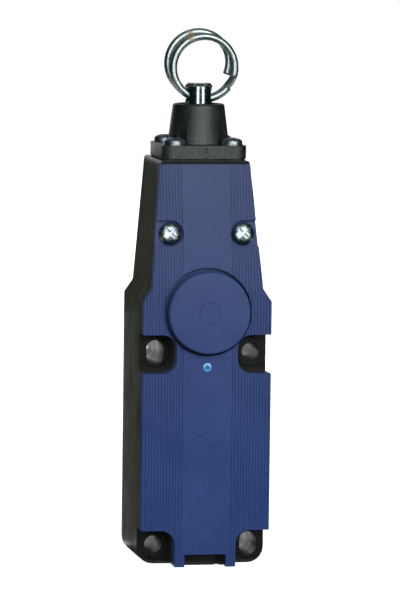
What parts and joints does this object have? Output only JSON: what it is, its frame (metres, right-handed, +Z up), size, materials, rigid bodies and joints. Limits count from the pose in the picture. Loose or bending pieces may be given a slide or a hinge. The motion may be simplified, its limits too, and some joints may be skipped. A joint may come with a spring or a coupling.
{
  "type": "rope pull switch",
  "caption": "Rope pull switch: slim enclosure with a leaning neck, front reset button, screwed-on head with a spring-loaded pull plunger and a split ring for the rope.",
  "frame": {"origin": "centre of the rectangle of the fixing holes, on the flat rear mounting face", "axes": "+X to the right seen from the front, +Y into the wall that carries the switch, +Z up along the pull of the rope"},
  "size_m": [0.04, 0.042, 0.1659],
  "materials": {
    "housing": "black moulded thermoplastic, slightly dusty matt sides",
    "cover": "dark blue moulded plastic, satin",
    "head": "black glass-filled plastic, fine grain",
    "seal": "black nitrile rubber",
    "screw": "zinc-plated steel",
    "steel": "turned stainless steel",
    "zinc": "zinc-plated spring steel wire",
    "spring": "spring steel",
    "bronze": "sintered bronze",
    "contact_brass": "brass strip",
    "silver": "silver-faced strip",
    "acetal": "natural plastic",
    "carriage": "red moulded plastic",
    "lens": "translucent blue lens"
  },
  "bodies": {
    "base": {"housing": "housing", "cover": "cover", "cover_gasket": "seal", "cover_screws": "screw", "indicator_light": "lens", "head": "head", "head_gasket": "seal", "head_screws": "screw", "guide_bush": "bronze", "wiper_seal": "seal", "pull_spring": "spring", "reset_spring": "spring", "reset_seal": "seal", "latch_guide": "acetal", "guide_screws": "screw", "latch_spring": "spring", "contact_block": "acetal", "block_screws": "screw", "fixed_contacts": "contact_brass", "terminal_screws": "screw", "terminal_clamps": "screw"},
    "pull_rod": {"plunger": "steel", "spring_plate": "steel", "plunger_clip": "spring"},
    "ring": {"split_ring": "zinc"},
    "reset": {"reset_button": "cover", "reset_clip": "spring"},
    "latch": {"latch_plate": "steel"},
    "carriage": {"contact_carriage": "carriage", "contact_bridges": "silver", "contact_springs": "spring"}
  },
  "joints": [
    {"name": "plunger_pull", "type": "slide", "parent": "base", "child": "pull_rod", "axis": [0, 0, 1], "range_m": [0, 0.007], "stiffness_N_per_m": 2500, "springref_m": -0.008, "deforming": ["pull_spring"]},
    {"name": "ring_swing", "type": "hinge", "parent": "pull_rod", "child": "ring", "pos_m": [0, -0.017, 0.1091], "axis": [1, 0, 0], "range_deg": [-80, 80]},
    {"name": "reset_push", "type": "slide", "parent": "base", "child": "reset", "axis": [0, 1, 0], "range_m": [0, 0.002], "stiffness_N_per_m": 600, "springref_m": -0.003, "deforming": ["reset_spring"]},
    {"name": "latch_slide", "type": "slide", "parent": "base", "child": "latch", "axis": [0, 1, 0], "range_m": [0, 0.002], "deforming": ["latch_spring"]},
    {"name": "carriage_slide", "type": "slide", "parent": "base", "child": "carriage", "axis": [0, 0, 1], "range_m": [0, 0.007]}
  ],
  "couplings": [
    {"joint": "latch_slide", "follows": "reset_push", "ratio": 1},
    {"joint": "carriage_slide", "follows": "plunger_pull", "ratio": 1}
  ]
}
